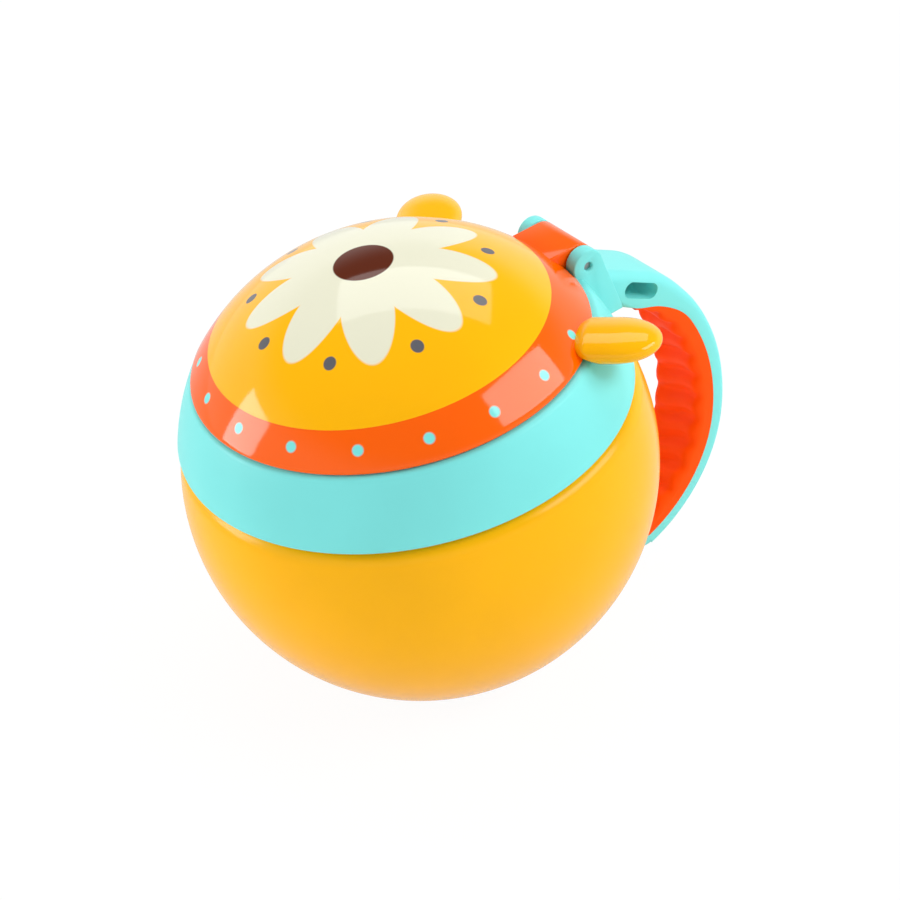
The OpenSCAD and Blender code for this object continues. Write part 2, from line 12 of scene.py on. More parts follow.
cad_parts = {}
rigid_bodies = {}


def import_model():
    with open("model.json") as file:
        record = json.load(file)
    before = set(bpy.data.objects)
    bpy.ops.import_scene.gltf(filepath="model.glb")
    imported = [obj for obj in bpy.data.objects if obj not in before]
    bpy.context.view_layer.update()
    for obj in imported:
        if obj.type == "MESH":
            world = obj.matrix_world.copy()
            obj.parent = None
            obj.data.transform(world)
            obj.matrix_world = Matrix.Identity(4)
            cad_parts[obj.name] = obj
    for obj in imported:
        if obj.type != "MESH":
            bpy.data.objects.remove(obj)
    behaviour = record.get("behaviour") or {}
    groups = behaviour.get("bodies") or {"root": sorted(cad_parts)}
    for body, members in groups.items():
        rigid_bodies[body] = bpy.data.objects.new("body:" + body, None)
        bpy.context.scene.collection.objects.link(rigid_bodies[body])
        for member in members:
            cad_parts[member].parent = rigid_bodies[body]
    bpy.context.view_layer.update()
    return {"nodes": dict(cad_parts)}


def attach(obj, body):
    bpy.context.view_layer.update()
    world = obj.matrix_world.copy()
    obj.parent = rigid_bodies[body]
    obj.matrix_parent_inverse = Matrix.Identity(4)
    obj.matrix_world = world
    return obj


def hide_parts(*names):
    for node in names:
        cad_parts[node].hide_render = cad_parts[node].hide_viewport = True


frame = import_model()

scene = bpy.context.scene
scene.view_settings.view_transform = "Standard"
MM = 0.001

# ---------------------------------------------------------------- camera
camera_at = (265.3 * MM, -166.3 * MM, 247.3 * MM)
camera_down = math.radians(32.42)
camera_turn = math.radians(56.75)
bpy.ops.object.camera_add(location=camera_at,
                          rotation=(math.radians(90) - camera_down, 0, camera_turn))
camera = bpy.context.object
camera.data.lens = 68
camera.data.sensor_width = 36
camera.data.clip_start = 0.01
scene.camera = camera

# ---------------------------------------------------------------- sizes
# Bowl
ball_r = 52 * MM
bowl_wall = 2 * MM
foot_r = 25 * MM
floor_t = 2.2 * MM
tilt = math.radians(11.3)
shoulder_h = 17.5 * MM
shoulder_fillet = 4.5 * MM
neck_r = 42.467 * MM
neck_top_h = shoulder_h + 8.9 * MM
ridge_proud = 0.9 * MM
ridge_t = 1.4 * MM
ridge_gap = 0.3 * MM
ridge_arc = math.radians(44)
thread_lead = 36 * MM
thread_starts = 3
ridge_climb = thread_lead * ridge_arc / (2 * math.pi)
lip = 0.5 * MM
centre_z = math.sqrt(ball_r ** 2 - foot_r ** 2)

# Collar
flange_t = 1.4 * MM
deck_h = neck_top_h + flange_t
deck_top_h = deck_h + 1.8 * MM
rim_h = deck_top_h + 2.3 * MM
collar_h = shoulder_h + 0.4 * MM
collar_forward = 0.5 * MM
collar_wall = 1.8 * MM
coring_l = 4 * MM
rim_chamfer = 0.4 * MM
collar_fillet = 0.6 * MM
soft = 0.3 * MM
let_in = 1.2 * MM
bore_r = neck_r + ridge_proud + ridge_gap

# Lid
dome_r = ball_r + 1.3 * MM
lid_forward = 1 * MM
lid_rise = 0.3 * MM
lid_wall = 1.8 * MM
liner_space = 1.5 * MM
liner_wall = 1.4 * MM
lid_edge_h = rim_h + 0.3 * MM
lid_edge_r = math.sqrt(dome_r ** 2 - (lid_edge_h - lid_rise) ** 2)
lid_fillet = 0.5 * MM
film_r = lid_edge_r - 6.9 * MM
film_t = 0.3 * MM
film_proud = 0.04 * MM
film_tilt = math.radians(1.8)
plug_h = deck_top_h + 0.4 * MM
flange_h = lid_edge_h + 0.1 * MM
liner_flange_t = 1.5 * MM

collar_r1 = math.sqrt(ball_r ** 2 - collar_h ** 2) + 0.45 * MM
collar_r2 = lid_edge_r + 0.3 * MM
collar_c_h = ((collar_r2 ** 2 + rim_h ** 2 - collar_r1 ** 2 - collar_h ** 2)
              / (2 * (rim_h - collar_h)))
collar_r = math.hypot(collar_r1, collar_h - collar_c_h)
rim_in_r = collar_r2 - 3.6 * MM
mouth_r = rim_in_r - 3.4 * MM
plug_r = rim_in_r - 0.4 * MM

# Hinge
hinge_h = lid_edge_h + 1.8 * MM
hinge_back = collar_r2 - collar_forward + 0.8 * MM
lug_r = 3.8 * MM
lug_t = 3.2 * MM
hinge_w = 21 * MM
lug_in = hinge_w / 2 - lug_t
hinge_side_gap = 0.3 * MM
tongue_w = 2 * (lug_in - hinge_side_gap)
pocket_r = lug_r + 0.4 * MM
boss_wall = 1.1 * MM
boss_r = pocket_r + boss_wall
pin_r = 1 * MM
lug_round = 0.35 * MM
tongue_round = 1.0 * MM

# Side tabs
tab_turn = math.radians(42.5)
tab_back = lid_edge_r + 4 * MM
tab_h = lid_edge_h + 0.8 * MM
tab_long = 9.4 * MM
tab_wide = 7.5 * MM
tab_thick = 3.3 * MM
tab_roll = math.radians(6)
tab_clear = 0.4 * MM
tab_let_in = 0.8 * MM
tab_blunt = 2.1

# Handle
handle_w = 17 * MM
root_t = 8.5 * MM
root_fall = math.radians(28.5)
root_drop = 1.9 * MM
root_l = 21.2 * MM
knee_r = 20 * MM
back_r = 50 * MM
low_r = 37.5 * MM
grip_in = 8.8 * MM
band_t = 3.9 * MM
band_round = 2.6 * MM
grip_round = 3 * MM
grip_lead = 2 * MM
grip_blend = 22 * MM
grip_edge = 0.4 * MM
seam_round = 0.15 * MM
rib_pitch = 6.2 * MM
valley_depth = 1.3 * MM
valley_narrow = 1.5
wave_slant = 0.28
wave_bow = 0.1
wave_calm = 0.45
grip_scoop = 0.45 * MM
slot_l = 9.6 * MM
slot_t = 3.8 * MM
slot_back = 2 * MM
slot_up = 0.4 * MM
slot_reach = 20 * MM
knee_start = math.radians(90) - root_fall
knee_end = knee_start - math.radians(20.8)
low_start = knee_end - math.radians(52)
low_end = low_start - math.radians(60.7)

# Steps of a full turn, and of a small rounding
turn_steps = 192
round_steps = 5

# Reach of a tool that goes right through, and how near points have to lie to be merged
through = 60 * MM
merge_gap = 0.002 * MM
cut_gap = 0.001 * MM
ring_gap = 0.015 * MM


# ---------------------------------------------------------------- modelling
def select_only(piece=None):
    """Leaves nothing selected but this piece."""
    for other in bpy.context.selected_objects:
        other.select_set(False)
    if piece:
        piece.select_set(True)
        bpy.context.view_layer.objects.active = piece


def named(name):
    """Names the piece that was just added."""
    piece = bpy.context.object
    piece.name = piece.data.name = name
    return piece


def in_edit_mode(piece):
    """Opens a piece for editing with all of it selected."""
    select_only(piece)
    bpy.ops.object.mode_set(mode="EDIT")
    bpy.ops.mesh.select_all(action="SELECT")


def select_parts(piece, test, kind="FACE"):
    """In edit mode, selects the faces, edges or vertices whose middle passes the test."""
    bpy.ops.mesh.select_all(action="DESELECT")
    bpy.ops.mesh.select_mode(type=kind)
    shape = bmesh.from_edit_mesh(piece.data)
    for part in {"FACE": shape.faces, "EDGE": shape.edges, "VERT": shape.verts}[kind]:
        middle = (part.co if kind == "VERT" else part.calc_center_median() if kind == "FACE"
                  else (part.verts[0].co + part.verts[1].co) / 2)
        part.select_set(bool(test(middle)))
    shape.select_flush_mode()
    bmesh.update_edit_mesh(piece.data)


def close_up():
    """Merges what meets, clears loose ends and turns all faces outwards."""
    bpy.ops.mesh.select_mode(type="VERT")
    bpy.ops.mesh.select_all(action="SELECT")
    bpy.ops.mesh.remove_doubles(threshold=merge_gap)
    bpy.ops.mesh.delete_loose(use_verts=True, use_edges=True, use_faces=False)
    bpy.ops.mesh.select_all(action="SELECT")
    bpy.ops.mesh.normals_make_consistent(inside=False)


def start_outline(out, up):
    """In edit mode, sets down the first point of an outline in the XZ plane."""
    bpy.ops.mesh.select_mode(type="VERT")
    bpy.ops.mesh.primitive_plane_add(size=MM, location=(out, 0, up))
    bpy.ops.mesh.merge(type="CENTER")


def pen(piece):
    """The outline's last point."""
    shape = bmesh.from_edit_mesh(piece.data)
    return next(v.co.copy() for v in shape.verts if v.select)


def line_to(piece, out, up):
    """Draws the outline straight on to a point."""
    here = pen(piece)
    bpy.ops.mesh.extrude_region_move(
        TRANSFORM_OT_translate={"value": (out - here.x, 0, up - here.z)})


def arc_about(centre, degrees, steps=round_steps):
    """Draws the outline on round a centre, anticlockwise for positive degrees."""
    bpy.ops.mesh.spin(steps=steps, angle=math.radians(degrees), axis=(0, 1, 0),
                      center=(centre[0], 0, centre[1]))


def turned(piece, forward=0, steps=turn_steps):
    """Spins the outline just drawn a full turn, about an axis that lies forward of the mouth's."""
    bpy.ops.mesh.select_linked()
    bpy.ops.mesh.spin(steps=steps, angle=2 * math.pi, axis=(0, 0, 1), center=(0, 0, 0))
    bpy.ops.mesh.select_linked()
    bpy.ops.mesh.remove_doubles(threshold=merge_gap)
    bpy.ops.transform.translate(value=(0, -forward, 0))


def settle(piece):
    """Applies a piece's move, turn and scale to its mesh."""
    if bpy.context.mode != "OBJECT":
        bpy.ops.object.mode_set(mode="OBJECT")
    select_only(piece)
    bpy.ops.object.transform_apply(location=True, rotation=True, scale=True)


def face_outwards(piece):
    """Turns all faces of a piece outwards."""
    in_edit_mode(piece)
    bpy.ops.mesh.normals_make_consistent(inside=False)
    bpy.ops.object.mode_set(mode="OBJECT")


def plate(piece, thickness, half_across):
    """Makes the outline just drawn a plate that stands across X, from half_across inwards."""
    bpy.ops.mesh.select_all(action="SELECT")
    bpy.ops.mesh.edge_face_add()
    bpy.ops.mesh.extrude_region_move(TRANSFORM_OT_translate={"value": (0, thickness, 0)})
    close_up()
    bpy.ops.object.mode_set(mode="OBJECT")
    piece.rotation_euler = (0, 0, math.pi / 2)
    piece.location = (half_across, 0, 0)
    settle(piece)
    face_outwards(piece)


def bridge_rings(piece, level, centred_r, moved_r, forward):
    """Joins a ring of edges round the mouth's axis to one about an axis that lies forward."""
    def on_either(p):
        return abs(p.z - level) < 0.01 * MM and (
            abs(math.hypot(p.x, p.y) - centred_r) < ring_gap
            or abs(math.hypot(p.x, p.y + forward) - moved_r) < ring_gap)

    select_parts(piece, on_either, "EDGE")
    bpy.ops.mesh.bridge_edge_loops()


def new_shape(name):
    """An empty piece, open for editing."""
    select_only()
    bpy.ops.mesh.primitive_plane_add(size=MM)
    piece = named(name)
    in_edit_mode(piece)
    bpy.ops.mesh.delete(type="VERT")
    return piece


def apply_modifier(piece, kind, **settings):
    """Adds a modifier and applies it."""
    bpy.ops.object.mode_set(mode="OBJECT")
    select_only(piece)
    modifier = piece.modifiers.new(kind.lower(), kind)
    for setting, value in settings.items():
        setattr(modifier, setting, value)
    bpy.ops.object.modifier_apply(modifier=modifier.name)


def cut_with(piece, tool, operation="DIFFERENCE"):
    """Cuts a piece with a tool, or joins or intersects them, and takes the tool away."""
    apply_modifier(piece, "BOOLEAN", object=tool, operation=operation, solver="EXACT")
    bpy.data.objects.remove(tool)


def round_edges(piece, width, steps=3, above=35):
    """Rounds the sharp edges of a piece."""
    apply_modifier(piece, "BEVEL", width=width, segments=steps, limit_method="ANGLE",
                   angle_limit=math.radians(above), use_clamp_overlap=True)


def rod(name, radius, length, back=hinge_back, up=hinge_h, sides=96):
    """A round bar along X."""
    select_only()
    bpy.ops.mesh.primitive_cylinder_add(vertices=sides, radius=radius, depth=length,
                                        location=(0, back, up), rotation=(0, math.pi / 2, 0))
    piece = named(name)
    settle(piece)
    return piece


def ball(name, radius, back=0, up=0):
    """A plain ball, for cutting."""
    select_only()
    bpy.ops.mesh.primitive_uv_sphere_add(segments=128, ring_count=64, radius=radius,
                                         location=(0, back, up))
    piece = named(name)
    settle(piece)
    return piece


def joined(piece, *others):
    """Joins other shells into a piece."""
    bpy.ops.object.mode_set(mode="OBJECT")
    select_only(piece)
    for other in others:
        other.select_set(True)
    bpy.ops.object.join()


def duplicate(piece, name):
    """A copy of a piece with its own mesh."""
    bpy.ops.object.mode_set(mode="OBJECT")
    select_only(piece)
    bpy.ops.object.duplicate(linked=False)
    return named(name)


def seat(piece):
    """Turns a piece from the upright frame of the mouth to its place."""
    piece.rotation_euler = (tilt, 0, 0)
    piece.location = (0, 0, centre_z)
    settle(piece)


def finish(piece, material, body, slot, *nodes, smooth=35):
    """Gives a seated piece its smooth shading, material and body, and hides the nodes it stands
    for. The slot argument is not used.
    """
    select_only(piece)
    bpy.ops.object.shade_smooth_by_angle(angle=math.radians(smooth))
    piece.data.materials.clear()
    piece.data.materials.append(material)
    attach(piece, body)
    if nodes:
        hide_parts(*nodes)


# ---------------------------------------------------------------- materials
def linear(code):
    """An sRGB hex colour as the linear colour that a shader takes."""
    parts = [int(code[i:i + 2], 16) / 255 for i in (1, 3, 5)]
    return [c / 12.92 if c <= 0.04045 else ((c + 0.055) / 1.055) ** 2.4 for c in parts] + [1]


def add(tree, kind, inputs=None, **settings):
    """Adds a node with its settings, and its inputs as values or as links from other nodes."""
    made = tree.nodes.new("ShaderNode" + kind)
    for setting, value in settings.items():
        setattr(made, setting, value)
    for socket, value in (inputs or {}).items():
        if isinstance(value, bpy.types.NodeSocket):
            tree.links.new(value, made.inputs[socket])
        else:
            made.inputs[socket].default_value = value
    return made


def moulded(name, colour, roughness, grain, depth, **sockets):
    """A moulded plastic: its colour drifts a little, and a fine swell breaks up its gloss.
    grain is the swell's size and depth its height, both in metres."""
    material = bpy.data.materials.new(name)
    material.use_nodes = True
    tree = material.node_tree
    shader = tree.nodes["Principled BSDF"]
    place = add(tree, "TexCoord").outputs["Object"]
    drift = add(tree, "TexNoise", {"Vector": place, "Scale": 1 / (30 * MM), "Detail": 2})
    shade = add(tree, "MapRange", {"Value": drift.outputs["Fac"], "From Min": 0.3,
                                   "From Max": 0.7, "To Min": 0.97, "To Max": 1.03})
    tint = add(tree, "HueSaturation", {"Color": linear(colour), "Value": shade.outputs[0]})
    swell = add(tree, "TexNoise", {"Vector": place, "Scale": 1 / grain, "Detail": 3})
    wear = add(tree, "MapRange", {"Value": swell.outputs["Fac"], "From Min": 0.3,
                                  "From Max": 0.7, "To Min": roughness * 0.93,
                                  "To Max": roughness * 1.07})
    bump = add(tree, "Bump", {"Height": swell.outputs["Fac"], "Strength": 0.5,
                              "Distance": depth})
    tree.links.new(tint.outputs["Color"], shader.inputs["Base Color"])
    tree.links.new(wear.outputs[0], shader.inputs["Roughness"])
    tree.links.new(bump.outputs["Normal"], shader.inputs["Normal"])
    for socket, value in sockets.items():
        shader.inputs[socket.replace("_", " ")].default_value = value
    return material


yellow, turquoise = "#FFB800", "#7EE4E1"
orange, soft_orange = "#FF6200", "#FF5200"
cream, brown, grey = "#E5E4CC", "#5A1E00", "#5F5F65"
liner_orange, steel, paper_grey = "#FF6A1A", "#9FA8A6", "#F4F4F4"

# Glossy moulded polypropylene: an even, slightly waxy gloss from a polished mould
bowl_plastic = moulded("polypropylene_polished_yellow", yellow, 0.2, 2.5 * MM, 0.004 * MM,
                       IOR=1.49, Specular_IOR_Level=0.2)
# Satin moulded polypropylene: a fine spark-eroded mould surface spreads the highlights
collar_plastic = moulded("polypropylene_satin_turquoise", turquoise, 0.38, 0.5 * MM,
                         0.006 * MM, IOR=1.49, Specular_IOR_Level=0.2)
# Soft thermoplastic elastomer: matt, with a faint skin that catches grazing light
grip_rubber = moulded("elastomer_matt_orange", soft_orange, 0.55, 0.4 * MM, 0.01 * MM,
                      IOR=1.5, Specular_IOR_Level=0.08)
# The flap insert's elastomer: smoother than the grip, with a low satin sheen
flap_rubber = moulded("elastomer_satin_turquoise", turquoise, 0.45, 0.4 * MM, 0.008 * MM,
                      IOR=1.5, Specular_IOR_Level=0.3)
# High-gloss moulded ABS: sharp reflections with the faintest swell of the moulding
lid_plastic = moulded("abs_high_gloss_orange", orange, 0.07, 3 * MM, 0.003 * MM, IOR=1.53,
                      Specular_IOR_Level=0.25)
tab_plastic = moulded("abs_high_gloss_yellow", yellow, 0.08, 3 * MM, 0.003 * MM, IOR=1.53,
                      Specular_IOR_Level=0.25)
# The liner is polished like the bowl, so it shows a softer gloss than the dome
liner_plastic = moulded("polypropylene_gloss_orange", liner_orange, 0.2, 2.5 * MM, 0.004 * MM,
                        IOR=1.49)
# Drawn steel wire: a soft metallic shine
pin_steel = moulded("steel_drawn_pin", steel, 0.35, 0.3 * MM, 0.003 * MM, Metallic=1.0)


def in_turned_frame(tree, centre_back, centre_up, lean):
    """Object coordinates in a frame about a dome's centre, its Z along the leaned axis."""
    turn = Matrix.Rotation(-(tilt + lean), 4, "X")
    seat_at = (Matrix.Translation((0, 0, centre_z)) @ Matrix.Rotation(tilt, 4, "X")
               @ Vector((0, centre_back, centre_up)))
    return add(tree, "Mapping", {"Vector": add(tree, "TexCoord").outputs["Object"],
                                 "Rotation": (-(tilt + lean), 0, 0),
                                 "Location": tuple(-(turn @ seat_at))}).outputs[0]


def spots(tree, place, count, phase, ring, long, wide, edge=0.12 * MM):
    """How far inside the nearest of several ovals a point lies, as 0 to 1. They stand evenly
    round the Z axis at distance ring, long outwards and wide across, both as half sizes."""
    axes = add(tree, "SeparateXYZ", {0: place})
    out = add(tree, "VectorMath", {0: add(tree, "CombineXYZ", {
        0: axes.outputs[0], 1: axes.outputs[1]}).outputs[0]}, operation="LENGTH")
    turn = add(tree, "Math", {0: axes.outputs[1], 1: axes.outputs[0]}, operation="ARCTAN2")
    shifted = add(tree, "Math", {0: turn.outputs[0], 1: -math.radians(phase)}, operation="ADD")
    folded = add(tree, "Math", {0: shifted.outputs[0], 1: -math.pi / count,
                                2: math.pi / count}, operation="WRAP")
    along = add(tree, "Math", {0: add(tree, "Math", {0: folded.outputs[0]},
                                      operation="COSINE").outputs[0],
                               1: out.outputs["Value"]}, operation="MULTIPLY")
    across = add(tree, "Math", {0: add(tree, "Math", {0: folded.outputs[0]},
                                       operation="SINE").outputs[0],
                                1: out.outputs["Value"]}, operation="MULTIPLY")
    from_ring = add(tree, "Math", {0: along.outputs[0], 1: ring}, operation="SUBTRACT")
    stretched = add(tree, "VectorMath", {0: add(tree, "CombineXYZ", {
        0: from_ring.outputs[0], 1: across.outputs[0]}).outputs[0],
        1: (1 / long, 1 / wide, 0)}, operation="MULTIPLY")
    far = add(tree, "VectorMath", {0: stretched.outputs[0]}, operation="LENGTH")
    soft = edge / min(long, wide)
    return add(tree, "MapRange", {"Value": far.outputs["Value"], "From Min": 1 + soft,
                                  "From Max": 1 - soft}).outputs[0]


def paint(material, layers):
    """Lays printed layers of [mask, colour] over a moulded plastic's own colour."""
    tree = material.node_tree
    shader = tree.nodes["Principled BSDF"]
    colour = shader.inputs["Base Color"].links[0].from_socket
    for mask, code in layers:
        mix = add(tree, "Mix", {"Factor": mask, 6: colour, 7: linear(code)}, data_type="RGBA")
        colour = mix.outputs[2]
    tree.links.new(colour, shader.inputs["Base Color"])


# The band round the lid carries a row of small moulded-in dots
tree = lid_plastic.node_tree
band_place = in_turned_frame(tree, -lid_forward, lid_rise, 0)
dots = spots(tree, band_place, count=18, phase=0, ring=39.4 * MM, long=0.75 * MM,
             wide=1.1 * MM)
ahead = add(tree, "Math", {0: add(tree, "SeparateXYZ", {0: band_place}).outputs[1],
                           1: 30 * MM}, operation="LESS_THAN")
paint(lid_plastic, [(add(tree, "Math", {0: dots, 1: ahead.outputs[0]},
                         operation="MULTIPLY").outputs[0], turquoise)])

# In-mould printed film: the same gloss as the lid, with a flat printed flower under it
printed_film = moulded("printed_film_gloss", yellow, 0.07, 3 * MM, 0.003 * MM, IOR=1.53,
                       Specular_IOR_Level=0.25)
tree = printed_film.node_tree
film_place = in_turned_frame(tree, -lid_forward, lid_rise, film_tilt)
petals = spots(tree, film_place, count=9, phase=10, ring=14.5 * MM, long=11.5 * MM,
               wide=5.3 * MM)
heart = spots(tree, film_place, count=1, phase=0, ring=0, long=6.2 * MM, wide=6.2 * MM)
seeds = spots(tree, film_place, count=9, phase=30, ring=25 * MM, long=1.3 * MM, wide=1.3 * MM)
paint(printed_film, [(petals, cream), (heart, brown), (seeds, grey)])


# ---------------------------------------------------------------- bowl
bowl = new_shape("bowl_body")
fillet_c_h = shoulder_h - shoulder_fillet
fillet_c_r = math.sqrt((ball_r - shoulder_fillet) ** 2 - fillet_c_h ** 2)
fillet_at = math.degrees(math.atan2(fillet_c_h, fillet_c_r))
neck_in_r = neck_r - bowl_wall
start_outline(0, -ball_r)
arc_about((0, 0), 90 + fillet_at, 110)
arc_about((fillet_c_r, fillet_c_h), 90 - fillet_at, 12)
line_to(bowl, neck_r, shoulder_h)
line_to(bowl, neck_r, neck_top_h - lip)
arc_about((neck_r - lip, neck_top_h - lip), 90)
line_to(bowl, neck_in_r + lip, neck_top_h)
arc_about((neck_in_r + lip, neck_top_h - lip), 90)
line_to(bowl, neck_in_r, shoulder_h - bowl_wall)
line_to(bowl, fillet_c_r, shoulder_h - bowl_wall)
arc_about((fillet_c_r, fillet_c_h), fillet_at - 90, 8)
arc_about((0, 0), -90 - fillet_at, 72)
turned(bowl)
close_up()
seat(bowl)
# the cavity's floor and the foot are level, so they are cut when the bowl has its tilt
ball_middle = Vector((0, 0, centre_z))
for is_cut, level in ((lambda p: (p - ball_middle).length < ball_r - bowl_wall / 2, floor_t),
                      (lambda p: (p - ball_middle).length > ball_r - bowl_wall / 2, 0)):
    in_edit_mode(bowl)
    select_parts(bowl, lambda p: is_cut(p) and p.z < centre_z / 2)
    bpy.ops.mesh.bisect(plane_co=(0, 0, level), plane_no=(0, 0, 1), use_fill=True,
                        clear_inner=True, threshold=cut_gap)
    bpy.ops.object.mode_set(mode="OBJECT")
face_outwards(bowl)


def thread_ridge(start_h, wall_r, crest_r):
    """One ridge of the quick thread, rising from its start."""
    ridge = new_shape("ridge")
    start_outline(wall_r, start_h - ridge_t / 2)
    line_to(ridge, wall_r, start_h + ridge_t / 2)
    line_to(ridge, crest_r, start_h + ridge_t / 4)
    line_to(ridge, crest_r, start_h - ridge_t / 4)
    bpy.ops.mesh.select_all(action="SELECT")
    bpy.ops.mesh.edge_face_add()
    steps = 24
    for _ in range(steps):
        bpy.ops.mesh.extrude_region_move(TRANSFORM_OT_translate={
            "value": (0, 0, ridge_climb / steps)})
        bpy.ops.transform.rotate(value=-ridge_arc / steps, orient_axis="Z",
                                 center_override=(0, 0, 0))
    close_up()
    bpy.ops.object.mode_set(mode="OBJECT")
    return ridge


def thread_ridges(start_h, wall_r, crest_r):
    """The thread's ridges one by one, evenly round the axis."""
    for i in range(thread_starts):
        ridge = thread_ridge(start_h, wall_r, crest_r)
        ridge.rotation_euler = (0, 0, i * 2 * math.pi / thread_starts)
        settle(ridge)
        yield ridge


neck_ridge_h = neck_top_h - ridge_climb - ridge_t / 2 - ridge_gap
for ridge in thread_ridges(neck_ridge_h, neck_r - bowl_wall / 4, neck_r + ridge_proud):
    seat(ridge)
    joined(bowl, ridge)
finish(bowl, bowl_plastic, "bowl", "bowl_pp", "bowl")

# ---------------------------------------------------------------- collar
collar = new_shape("collar_with_lugs")
core_r = collar_r - collar_wall


def out_at(radius, up):
    """Distance of the collar's sphere of this radius from its axis at a height."""
    return math.sqrt(radius ** 2 - (up - collar_c_h) ** 2)


core_top = collar_h + coring_l
edge_c_h = collar_h + collar_fillet
edge_c_r = math.sqrt((collar_r - collar_fillet) ** 2 - (edge_c_h - collar_c_h) ** 2)
edge_at = math.degrees(math.atan2(edge_c_h - collar_c_h, edge_c_r))
top_out = rim_h - rim_chamfer
top_at = math.degrees(math.asin((top_out - collar_c_h) / collar_r))
rim_land_r = rim_in_r + 4 * rim_chamfer
start_outline(bore_r + collar_wall, collar_h)
line_to(collar, bore_r + collar_wall, core_top)
line_to(collar, out_at(core_r, core_top), core_top)
line_to(collar, out_at(core_r, collar_h), collar_h)
line_to(collar, edge_c_r, collar_h)
arc_about((edge_c_r, edge_c_h), 90 + edge_at, 6)
arc_about((0, collar_c_h), top_at - edge_at, 30)
line_to(collar, collar_r2 - rim_chamfer, rim_h)
line_to(collar, rim_land_r, rim_h)
turned(collar, collar_forward)
start_outline(rim_in_r + soft, rim_h)
arc_about((rim_in_r + soft, rim_h - soft), 90, 3)
line_to(collar, rim_in_r, deck_top_h)
line_to(collar, mouth_r + soft, deck_top_h)
arc_about((mouth_r + soft, deck_top_h - soft), 90, 3)
line_to(collar, mouth_r, deck_h)
line_to(collar, bore_r, deck_h)
line_to(collar, bore_r, collar_h)
turned(collar)
# the flat lands at the rim's top and at the collar's lower edge join the two turned shells
bridge_rings(collar, rim_h, rim_in_r + soft, rim_land_r, collar_forward)
bridge_rings(collar, collar_h, bore_r, bore_r + collar_wall, collar_forward)
close_up()
bpy.ops.object.mode_set(mode="OBJECT")

# notch for the lid's tongue, and room for its barrel
notch_l = 100 * MM
select_only()
bpy.ops.mesh.primitive_cube_add(size=1, location=(0, notch_l / 2, plug_h + notch_l / 4),
                                scale=(2 * lug_in, notch_l, notch_l / 2))
notch = named("notch")
settle(notch)
cut_with(collar, notch)
cut_with(collar, rod("barrel_room", pocket_r, 2 * lug_in))

# lugs: a round barrel end on a foot that widens down into the collar
lug = new_shape("lug")
foot_h = collar_h + root_t / 5
start_outline(hinge_back - lug_r * 2 / 3, foot_h)
lean = math.degrees(math.atan2(lug_r, hinge_h - foot_h))
line_to(lug, hinge_back - lug_r, hinge_h - lug_r)
line_to(lug, hinge_back - lug_r, hinge_h)
arc_about((hinge_back, hinge_h), -180 + lean / 2, 32)
line_to(lug, hinge_back + 2 * lug_r, foot_h)
plate(lug, lug_t, hinge_w / 2)
cut_with(lug, rod("pin_bore", pin_r * 1.01, through, sides=48))
round_edges(lug, lug_round, 3)
cut_with(lug, ball("inner_ball", collar_r - let_in, -collar_forward, collar_c_h))
other_lug = duplicate(lug, "other_lug")
other_lug.scale = (-1, 1, 1)
settle(other_lug)
face_outwards(other_lug)
joined(collar, lug, other_lug)
collar_ridge_h = neck_ridge_h - ridge_t - ridge_gap
for ridge in thread_ridges(collar_ridge_h, bore_r + ridge_gap, neck_r + ridge_gap):
    joined(collar, ridge)
seat(collar)
finish(collar, collar_plastic, "collar", "collar_pp", "collar_ring")

# ---------------------------------------------------------------- handle
knee_p = (Vector((hinge_back, hinge_h))
          + root_l * Vector((math.sin(knee_start), -math.cos(knee_start)))
          - root_drop * Vector((math.cos(knee_start), math.sin(knee_start))))
knee_c = knee_p - knee_r * Vector((math.cos(knee_start), math.sin(knee_start)))
back_c = knee_c - (back_r - knee_r) * Vector((math.cos(knee_end), math.sin(knee_end)))
low_c = back_c + (back_r - low_r) * Vector((math.cos(low_start), math.sin(low_start)))
knee_s = root_l + knee_r * (knee_start - knee_end)
back_s = knee_s + back_r * (knee_end - low_start)
low_s = back_s + low_r * (low_start - low_end)
grip_s = root_l - grip_lead
blend_s = grip_s + grip_blend


def on_arc(centre, radius, start, s):
    """Point and normal's angle at distance s along one of the handle's arcs."""
    angle = start - s / radius
    return centre + radius * Vector((math.cos(angle), math.sin(angle))), angle


def straight_on(point, angle, s):
    """Point at distance s past a point, straight on."""
    return point + s * Vector((math.sin(angle), -math.cos(angle))), angle


def along_handle(s):
    """The handle's outer curve: root, knee, back curve, lower curve and straight tip."""
    if s < root_l:
        return straight_on(knee_p, knee_start, s - root_l)
    if s < knee_s:
        return on_arc(knee_c, knee_r, knee_start, s - root_l)
    if s < back_s:
        return on_arc(back_c, back_r, knee_end, s - knee_s)
    if s < low_s:
        return on_arc(low_c, low_r, low_start, s - back_s)
    return straight_on(*on_arc(low_c, low_r, low_start, low_s - back_s), s - low_s)


def ease(s, a, b):
    """Rises smoothly from 0 at a to 1 at b."""
    return (1 - math.cos(math.pi * min(1, max(0, (s - a) / (b - a))))) / 2


def inner_depth(s):
    return root_t + (grip_in - root_t) * ease(s, grip_s, blend_s)


def seam_depth(s):
    deep = root_t - grip_edge
    return deep - (deep - band_t) * ease(s, grip_s, blend_s)


def section(w, d0, d1, f0, f1, steps=6):
    """Rounded section from depth d0 to d1, as [across, outwards] points."""
    corners = ((w - f1, f1 - d1, f1, -90), (w - f0, -d0 - f0, f0, 0),
               (f0 - w, -d0 - f0, f0, 90), (f1 - w, f1 - d1, f1, 180))
    return [(x + f * math.cos(math.radians(a + 90 * k / steps)),
             y + f * math.sin(math.radians(a + 90 * k / steps)))
            for x, y, f, a in corners for k in range(steps + 1)]


